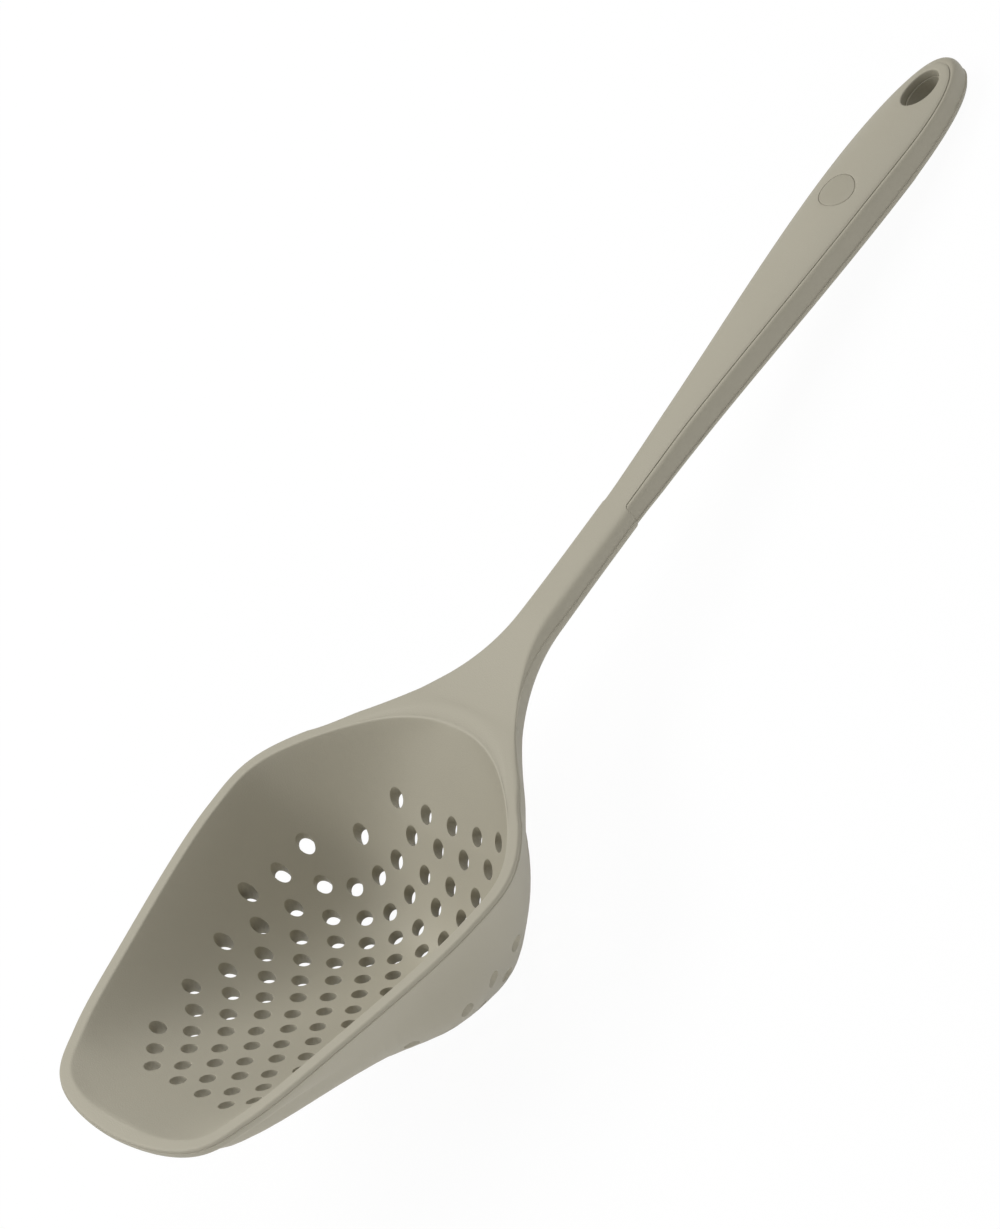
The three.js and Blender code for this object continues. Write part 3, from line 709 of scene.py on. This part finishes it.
def rim_patches():
    """Rim, shoulders and heel. The rim's profile runs round the mouth at a constant offset; behind the
    mouth it opens into a patch between the mouth's back edge and the neck's first section. Under it a
    quadratic curve runs on into the outer wall."""
    edge, out = MOUTH_EDGE, MOUTH_OUT
    steep = -bowl_z(*(edge - RIM_STEP * out).T) / RIM_STEP
    inner = edge - out * (EDGE_ROUND / np.hypot(1, steep))[:, None]
    flat_start = xyz(*(edge + EDGE_ROUND * out).T, 0)
    fillet = bezier(inside(inner), xyz(*edge.T, 0), flat_start, FILLET_COUNT)

    high = mix(LIP_HEIGHT, RIM_HEIGHT, ease(RIM_OUTER[:, 0], 0, LIP_REACH))
    low = wall_under_rim(high)
    wall_top = outside(low)
    climb = wall_top - outside(low - CLIMB_STEP * out)

    def at(offset, level):
        return xyz(*(edge + offset * out).T, level * high / RIM_HEIGHT)

    profile = rim_profile()
    flat = [at(o, 0) for o in np.linspace(EDGE_ROUND, profile[0, 0], FLAT_COUNT + 1)[1:-1]]
    side = [at(o, z) for o, z in profile]
    height = (side[-1] - wall_top)[:, 2:]
    flush = wall_top + climb * height / 2 / np.maximum(climb[:, 2:], CLIMB_LEAST)
    bulge = side[-1] * [1, 1, 0] - high[:, None] * [0, 0, LIP_BULGE]
    towards = mix(bulge, flush, ease(edge[:, :1], FLUSH_FROM, FLUSH_FULL))
    ledge = list(bezier(side[-1], towards, wall_top, SIDE_COUNT + FLAT_COUNT)[1:-1])
    band = np.stack([flat_start] + flat + side + ledge + [wall_top])[:, FRONT_RANGE]

    ends = [side[::-1], flat[::-1]]
    first, last = BACK_RANGE[0], BACK_RANGE[-1]
    near = np.concatenate([
        [p[first] for part in ends for p in part], flat_start[BACK_RANGE],
        [p[last] for part in reversed(ends) for p in reversed(part)]])
    x = np.linspace(near[0, 0], HEEL, SHOULDER_COUNT)
    far = front_section(np.array([HEEL]))
    slip = mix(-near[0, 1] - neck_half(near[0, 0]), 0, ease(x, x[0], x[0] + SHOULDER_SLIP))
    right = xyz(x, -neck_half(x) - slip, mix(near[0, 2], far[0, 0, 2], ease(x, x[0], HEEL)))
    right[0], right[-1] = near[0], far[0, 0]
    left = right * [1, -1, 1]
    shoulder = coons(near, far[0], right, left)

    near_low = np.concatenate([
        [p[first] for p in [side[-1]] + ledge], wall_top[BACK_RANGE],
        [p[last] for p in ledge[::-1] + [side[-1]]]])
    far_low = back_section(np.array([HEEL]))[0]
    far_low[[0, -1]] = far[0, [0, -1]]
    heel = coons(near_low, far_low, right, left)
    step = np.stack([chord(far)[0], far_low])
    patches = [grid(fillet, closed=True), grid(band), grid(shoulder), grid(heel), grid(step)]
    return patches, inner, low


# Front strip

def chain(start, peak, end, half_start, half_peak, power, begin, count=GRIP_COUNT):
    """Open plan path from the right of `begin` round the end to its left: a cosine swell up to the peak,
    then a superellipse by angle."""
    x = np.concatenate([begin + FINE_STEPS, np.linspace(begin + FINE_END, peak, count, endpoint=False)])
    swell = mix(half_start, half_peak, cosine(x, start, peak))
    a = np.linspace(0, np.pi / 2, TIP_COUNT)
    tip_x = peak + (end - peak) * np.sin(a) ** (2 / power)
    tip_y = half_peak * np.cos(a) ** (2 / power)
    right = np.stack([np.concatenate([x, tip_x]), -np.concatenate([swell, tip_y])], -1)
    right[-1, 1] = 0
    return np.concatenate([right, right[-2::-1] * [1, -1]])


def land_chain(begin, count=GRIP_COUNT):
    return chain(COLLAR_END, LAND_PEAK, LAND_END, LAND_HALF_START, LAND_HALF, LAND_TIP, begin, count)


def oval(x, length, width, count=OVAL_COUNT):
    a = np.arange(count) / count * 2 * np.pi
    return np.stack([x + length / 2 * np.cos(a), width / 2 * np.sin(a)], -1)


def in_oval(p, x, length, width):
    return ((p[:, 0] - x) / (length / 2)) ** 2 + (p[:, 1] / (width / 2)) ** 2 < 1


def sunk_rings(x, length, width, steps):
    """Ovals round a hole, each wider by its offset and sunk by its depth under the front strip's top."""
    plans = [oval(x, length + 2 * o, width + 2 * o) for o, _ in steps]
    return np.stack([xyz(*p.T, land_z(*p.T) - d) for p, (_, d) in zip(plans, steps)])


def strip_floor(plan):
    """Plan points at the level of the strip's underside."""
    return xyz(plan[..., 0], plan[..., 1], middle(plan[..., 0]) + STRIP_LOW)


def front_neck():
    """Front half of the neck: its sections up to the collar's rounded end, the flat floor between its
    seams and the end face round the strip. The last row of its top is where the strip begins."""
    top = front_section(neck_stations(HEEL))
    column = np.arange(top.shape[1])
    away = np.clip(np.maximum(LEFT_EDGE - column, column - RIGHT_EDGE) / COLLAR_FADE, 0, 1)
    top = drawn_in(top, worn_end(top) * away)
    floor = chord(top)
    end = top[-1]
    level = xyz(COLLAR_END, end[:, 1], np.minimum(end[:, 2], middle(COLLAR_END) + STRIP_LOW))
    face = np.stack([end, level, floor[-1]])
    faces = [grid(face[:, :LEFT_EDGE + 1]), grid(face[:, RIGHT_EDGE:]), grid(face[1:, TOP_COLUMNS])]
    return [grid(top), grid(floor)], faces, end[TOP_COLUMNS]


def plate_points(around):
    """Loose plan points on the strip's end: lines along its edge and a lattice inside them, clear of the
    hanging hole and the badge."""
    lines = [around - d * outward(around, closed=False) for d in PLATE_INSETS]
    along = np.arange(PLATE_START + LATTICE_ALONG, LAND_END - LATTICE_BEFORE_END, LATTICE_ALONG)
    across = np.arange(-LATTICE_HALF, LATTICE_HALF + LATTICE_SPARE, LATTICE_ACROSS)
    lattice = np.stack(np.meshgrid(along, across), -1).reshape(-1, 2)
    x, y = lattice.T
    lattice = lattice[land_distance(x, y) * (np.abs(y) < land_half(x)) > LATTICE_CLEAR]
    loose = np.concatenate([line[PLATE_SKIP:-PLATE_SKIP] for line in lines] + [lattice])
    loose = loose[~in_oval(loose, EYE_X, EYE_LENGTH + EYE_CLEAR, EYE_WIDTH + EYE_CLEAR)]
    wide = 2 * BADGE_RADIUS + BADGE_CLEAR
    return loose[~in_oval(loose, BADGE_X, wide, wide)]


def strip_patches():
    """Neck and front strip. Across, the neck's sides fall from the strip's line to the seam; the strip
    carries the same top on, with its own upright edge, to the rounded end with eye and badge seat."""
    neck, collar_faces, start = front_neck()
    even = np.linspace(COLLAR_END + FINE_END, PLATE_START, LAND_COUNT)
    gx = np.concatenate([COLLAR_END + FINE_STEPS, even])
    gy = land_half(gx)[:, None] * np.linspace(-1, 1, TOP_COUNT + 2)
    land = xyz(gx[:, None], gy, land_z(gx[:, None], gy))
    land[0] = start
    base = xyz(gx[:, None], gy, middle(gx)[:, None] + STRIP_LOW)

    around = land_chain(PLATE_START, PLATE_COUNT)
    border = np.concatenate([around[:-1], np.stack([gx[-1] + 0 * gy[-1], gy[-1]], -1)[::-1][:-1]])
    eye_foot = oval(EYE_X, EYE_LENGTH, EYE_WIDTH)
    eye = sunk_rings(EYE_X, EYE_LENGTH, EYE_WIDTH, EYE_RINGS)
    eye = np.concatenate([eye, [strip_floor(eye_foot)]])
    seat = sunk_rings(BADGE_X, 2 * BADGE_RADIUS, 2 * BADGE_RADIUS, BADGE_SEAT)
    seat_middle = xyz(BADGE_X, 0, land_z(BADGE_X, 0) - BADGE_FLOOR)
    seat = np.concatenate([seat, [seat_middle + 0 * seat[-1]]])

    count = len(border)
    loops = [np.arange(count), count + np.arange(OVAL_COUNT), count + OVAL_COUNT + np.arange(OVAL_COUNT)]
    eye_top, seat_top = eye[0, :, :2], seat[0, :, :2]
    plan, tri = triangles(np.concatenate([border, eye_top, seat_top, plate_points(around)]), loops,
                          lambda c: ~within(c, eye_top) & ~within(c, seat_top))
    plate = xyz(*plan.T, land_z(*plan.T))
    low_plan, low_tri = triangles(np.concatenate([border, eye_foot]), loops[:2],
                                  lambda c: ~within(c, eye_foot))
    path = np.concatenate([land[:-1, 0, :2], around, land[-2::-1, -1, :2]])
    rail = np.concatenate([land[:-1, 0], xyz(*around.T, land_z(*around.T)), land[-2::-1, -1]])
    wall = np.stack([rail, strip_floor(path)])
    strip = [grid(land), grid(base), grid(wall), (plate, tri), (strip_floor(low_plan), low_tri),
             grid(eye, closed=True), grid(seat, closed=True)]
    return neck + strip + collar_faces


# Core

def back_level(x, level):
    """Levels behind the handle's middle grow with the core's depth towards the widest part."""
    deep = mix(BACK_AT_COLLAR, BACK_AT_PEAK, ease(x, COLLAR_END, BODY_PEAK)) / BACK_AT_PEAK
    return middle(x) + np.where(level < 0, level * deep, level)


def at_level(plan, level):
    return xyz(plan[:, 0], plan[:, 1], back_level(plan[:, 0], np.asarray(level)))


def holed(plan, level, eye):
    """Flat face inside a closed plan with the eye left open."""
    loops = [np.arange(len(plan)), len(plan) + np.arange(len(eye))]
    p, tri = triangles(np.concatenate([plan, eye]), loops, lambda c: ~within(c, eye))
    return at_level(p, level), tri


def core_patches():
    """Body of the handle: its outline carried round a superellipse to the shoulder in front and round a
    quarter circle to the flat back, with a fine flash along the widest line, sunk on both sides for the
    silicone strips."""
    body = chain(COLLAR_END, BODY_PEAK, LENGTH, BODY_HALF_START, BODY_HALF, BODY_TIP, CORE_START)
    slim = NOTCH * (1 - ease(body[:, 0], COLLAR_END, COLLAR_END + NOTCH_REACH))
    body[:, 1] -= np.sign(body[:, 1]) * slim
    strip = land_chain(CORE_START)
    land = strip.copy()
    land[:, 1] += np.sign(land[:, 1]) * land_flare(land[:, 0])
    out, land_out = outward(body, False), outward(land, False)
    for n in (out, land_out):
        n[[0, -1], 0] = 0
        n[[0, -1], 1] = [-1, 1]
    body = body - FLASH * out
    front_pocket = land + GROOVE * land_out
    back_pocket = strip - (BACK_STRIP_INSET - GROOVE) * outward(strip, False)

    rings = [(front_pocket, WEB_TOP)]
    shoulder = land_z(land[:, 0], land[:, 1]) - middle(land[:, 0]) - LAND_RISE
    for t in np.sin(np.linspace(0, np.pi / 2, CORE_SIDE_COUNT)):
        fall = (1 - t**SIDE_OUT) ** (1 / SIDE_UP)
        level = mix(CORE_SEAM + SEAM_SHELF, shoulder, fall) - POCKET_DROP * (t == 0)
        rings.append((mix(front_pocket, body, t), level))
    rings += [(body + stand * out, CORE_SEAM + level) for stand, level in CORE_FLASH]
    way = back_pocket - body
    far = np.linalg.norm(way, axis=1)
    for a in np.linspace(0, np.pi / 2, CORE_BACK_COUNT):
        share = np.minimum(BACK_ROLL * (1 - math.cos(a)), far) / far
        rings.append((body + way * share[:, None], BACK_ROLL - BACK_AT_PEAK - BACK_ROLL * math.sin(a)))
    level_low = WEB_LOW * BACK_AT_PEAK / BACK_AT_COLLAR
    rings += [(back_pocket, -BACK_AT_PEAK), (back_pocket, level_low)]
    skin = np.stack([at_level(p, z) for p, z in rings])
    eye = oval(EYE_X, EYE_LENGTH - 2 * EYE_LEDGE, EYE_WIDTH - 2 * EYE_LEDGE)
    bore = np.stack([at_level(eye, z) for z in (WEB_TOP, level_low)])
    end = np.concatenate([skin[:, 0], skin[::-1, -1]])
    cap = (end, np.arange(len(end))[None])
    return [grid(skin), cap, grid(bore, closed=True),
            holed(front_pocket, WEB_TOP, eye), holed(back_pocket, level_low, eye)]


# Back silicone

def back_patches():
    """Back half of the neck, a half oval under the seam, and the slim strip sunk in the back of the
    grip, its edge rounded."""
    low = back_section(neck_stations(HEEL + GROOVE))
    low = drawn_in(low, worn_end(low))
    roof = chord(low)
    ends = [np.stack([low[0], roof[0]]), np.stack([low[-1], roof[-1]])]

    path = land_chain(BACK_STRIP_START)
    out = outward(path, False)
    outer = BACK_AT_PEAK + BACK_RISE
    sunk = WEB_LOW - BACK_STRIP_DEEP
    steps = [(0, sunk)] + [(inset, -outer + height) for inset, height in BACK_STEPS]
    plans = [path - (BACK_STRIP_INSET + inset) * out for inset, _ in steps]
    skin = np.stack([at_level(p, z) for p, (_, z) in zip(plans, steps)])
    eye = oval(EYE_X, EYE_LENGTH, EYE_WIDTH)
    wide = oval(EYE_X, EYE_LENGTH + 2 * EYE_BACK_FLARE, EYE_WIDTH + 2 * EYE_BACK_FLARE)
    rings = [(eye, sunk), (eye, -outer + EYE_BACK_FLARE), (wide, -outer)]
    bore = np.stack([at_level(e, z) for e, z in rings])
    return [grid(low), grid(roof)] + [grid(e) for e in ends] + [
        grid(skin, closed=True), grid(bore, closed=True),
        holed(plans[0], sunk, eye), holed(plans[-1], -outer, wide)]


# Badge

def badge_patches():
    """Plain disc: a profile of (radius, level) turned about its axis, its edge rounded."""
    plans = [oval(BADGE_X, 2 * r, 2 * r, BADGE_COUNT) for r, _ in BADGE_PROFILE]
    turned = np.stack([xyz(*p.T, land_z(*p.T) + d) for p, (_, d) in zip(plans, BADGE_PROFILE)])
    return [grid(turned, closed=True)]


# Materials

class Value:
    """A number socket in a node tree, joined to others by Python's operators."""

    def __init__(self, finish, socket):
        self.finish, self.socket = finish, socket

    def _math(self, operation, other):
        return self.finish.node("ShaderNodeMath", {"operation": operation}, {0: self, 1: other}, 0)

    def __add__(self, other):
        return self._math("ADD", other)

    def __sub__(self, other):
        return self._math("SUBTRACT", other)

    def __mul__(self, other):
        return self._math("MULTIPLY", other)

    __radd__ = __add__


class Finish:
    """A material's node tree with one way to add a node."""

    def __init__(self, name):
        self.material = bpy.data.materials.new(name)
        self.material.use_nodes = True
        self.tree = self.material.node_tree
        self.tree.nodes.clear()

    def node(self, kind, settings, inputs, output):
        made = self.tree.nodes.new(kind)
        for key, value in settings.items():
            setattr(made, key, value)
        for key, value in inputs.items():
            if isinstance(value, Value):
                self.tree.links.new(value.socket, made.inputs[key])
            else:
                made.inputs[key].default_value = value
        return Value(self, made.outputs[output])

    def surface(self, shader):
        out = self.tree.nodes.new("ShaderNodeOutputMaterial")
        self.tree.links.new(shader.socket, out.inputs["Surface"])
        return self.material

    def noise(self, scale, detail, rough):
        place = self.node("ShaderNodeTexCoord", {}, {}, "Object")
        inputs = {"Vector": place, "Scale": scale, "Detail": detail, "Roughness": rough}
        return self.node("ShaderNodeTexNoise", {}, inputs, "Fac")

    def blend(self, factor, a, b):
        """Two colours mixed: sockets 6, 7 and output 2 are the node's colour ones."""
        return self.node("ShaderNodeMix", {"data_type": "RGBA"}, {0: factor, 6: a, 7: b}, 2)


CLOUD_SCALE, CLOUD_DETAIL, CLOUD_ROUGH = 28.0, 3.0, 0.5
GRAIN_DETAIL, GRAIN_ROUGH = 2.0, 0.6
CLOUD_TONE, GRAIN_TONE = 0.7, 0.3
CLOUD_GLOSS, GRAIN_GLOSS = 0.1, 0.12
TOOTH_METRES = 0.0002
REFRACTION, SPECULAR = 1.42, 0.35


def moulded(name, colour, other, rough, grain, depth):
    """Moulded surface: two close tones in broad clouds, a fine tooth and slightly uneven gloss."""
    f = Finish(name)
    clouds = f.noise(CLOUD_SCALE, CLOUD_DETAIL, CLOUD_ROUGH)
    fine = f.noise(grain, GRAIN_DETAIL, GRAIN_ROUGH)
    tone = f.blend(clouds * CLOUD_TONE + fine * GRAIN_TONE, colour, other)
    gloss = rough + (clouds - 0.5) * CLOUD_GLOSS + (fine - 0.5) * GRAIN_GLOSS
    bump = {"Strength": depth, "Distance": TOOTH_METRES, "Height": fine}
    tooth = f.node("ShaderNodeBump", {}, bump, "Normal")
    shader = f.node("ShaderNodeBsdfPrincipled", {}, {
        "Base Color": tone, "Roughness": gloss, "Normal": tooth,
        "IOR": REFRACTION, "Specular IOR Level": SPECULAR}, 0)
    return f.surface(shader)


def linear(r, g, b):
    """sRGB bytes as linear colour."""
    c = np.array([r, g, b]) / 255
    return tuple(np.where(c <= 0.04045, c / 12.92, ((c + 0.055) / 1.055) ** 2.4)) + (1.0,)


SILICONE = moulded("silicone_matte", linear(168, 163, 147), linear(173, 168, 152),
                   rough=0.55, grain=2600.0, depth=0.3)
NYLON = moulded("nylon_satin", linear(166, 161, 145), linear(171, 166, 150),
                rough=0.5, grain=1800.0, depth=0.15)
BADGE = moulded("badge_satin", linear(161, 156, 140), linear(166, 161, 145),
                rough=0.45, grain=3000.0, depth=0.12)

rim, mouth_inner, mouth_low = rim_patches()
build("silicone_bowl_and_front", bowl_patches(mouth_inner, mouth_low) + rim + strip_patches(),
      SILICONE, "silicone_bowl_front")
build("silicone_back_skin", back_patches(), SILICONE, "silicone_back")
build("nylon_grip_core", core_patches(), NYLON, "nylon_core")
build("plain_badge", badge_patches(), BADGE, "badge_disc")


# Floor, light and camera, in metres

FLOOR_HALF = 6.0
FLOOR_TONE = (0.95, 0.95, 0.95, 1)
FLOOR_WHITE = 0.96  # share of plain white in what the camera sees of the floor
WHITE = (1, 1, 1, 1)
WORLD_STRENGTH = 0.15

# Soft lamps round the tool: bearing and height in degrees, power in watts.
LAMPS = [("behind", 0, 55, 8.0), ("left", 90, 55, 9.0),
         ("ahead_left", 150, 55, 10.0), ("right_low", 235, 18, 6.0)]
LAMP_SIZE = 0.8
LAMP_DISTANCE = 1.6

# The photograph's camera: place and axes in the mouth's frame, focal length in the photograph's pixels.
CAMERA_PLACE = [-227.48, -966.67, 847.6]
CAMERA_RIGHT = np.array([0.6167421, -0.6452321, -0.4508933])
CAMERA_DOWN = np.array([-0.7280945, -0.2498942, -0.6383034])
CAMERA_AHEAD = np.array([0.2991782, 0.7219615, -0.6239102])
FOCAL_PIXELS = 5021.6
PHOTO_HEIGHT = 1229
SENSOR = 36.0
CLIP_NEAR, CLIP_FAR = 0.05, 50


def floor_material():
    """Pale matte floor that reads as white to the camera and keeps a soft shadow."""
    f = Finish("floor_pale")
    rays = [f.node("ShaderNodeLightPath", {}, {}, "Is %s Ray" % kind)
            for kind in ("Camera", "Glossy", "Transmission")]
    matte = f.node("ShaderNodeBsdfDiffuse", {}, {"Color": FLOOR_TONE}, 0)
    white = f.node("ShaderNodeEmission", {}, {"Color": WHITE, "Strength": 1.0}, 0)
    seen = (rays[0] + rays[1] + rays[2]) * FLOOR_WHITE
    return f.surface(f.node("ShaderNodeMixShader", {}, {0: seen, 1: matte, 2: white}, 0))


def plain_floor():
    half = FLOOR_HALF
    mesh = bpy.data.meshes.new("floor")
    corners = [(-half, -half, 0), (half, -half, 0), (half, half, 0), (-half, half, 0)]
    mesh.from_pydata(corners, [], [(0, 1, 2, 3)])
    floor = bpy.data.objects.new("floor", mesh)
    mesh.materials.append(floor_material())
    bpy.context.collection.objects.link(floor)


def lamp(name, bearing, height, power):
    """Round lamp at a distance from the tool, turned towards it."""
    light = bpy.data.lights.new(name, "AREA")
    light.shape, light.size, light.energy = "DISK", LAMP_SIZE, power
    obj = bpy.data.objects.new(name, light)
    a, b = math.radians(bearing), math.radians(height)
    way = Vector((math.cos(b) * math.cos(a), math.cos(b) * math.sin(a), math.sin(b)))
    obj.location = LAMP_DISTANCE * way
    obj.rotation_euler = (-obj.location).to_track_quat("-Z", "Y").to_euler()
    bpy.context.collection.objects.link(obj)


def camera():
    """The photograph's camera, laid down with the tool."""
    rows = np.eye(4)
    rows[:3, :3] = (np.array([CAMERA_RIGHT, -CAMERA_DOWN, -CAMERA_AHEAD]) @ TURN.T).T
    rows[:3, 3] = lying(CAMERA_PLACE)
    data = bpy.data.cameras.new("camera")
    data.sensor_fit, data.sensor_height, data.sensor_width = "VERTICAL", SENSOR, SENSOR
    data.lens = FOCAL_PIXELS * SENSOR / PHOTO_HEIGHT
    data.clip_start, data.clip_end = CLIP_NEAR, CLIP_FAR
    obj = bpy.data.objects.new("camera", data)
    obj.matrix_world = Matrix(rows.tolist())
    bpy.context.collection.objects.link(obj)
    bpy.context.scene.camera = obj


def world():
    made = bpy.data.worlds.new("studio")
    made.use_nodes = True
    background = made.node_tree.nodes["Background"].inputs
    background["Color"].default_value = WHITE
    background["Strength"].default_value = WORLD_STRENGTH
    bpy.context.scene.world = made


plain_floor()
world()
for name, bearing, height, power in LAMPS:
    lamp(name, bearing, height, power)
camera()
bpy.context.scene.view_settings.view_transform = "Standard"
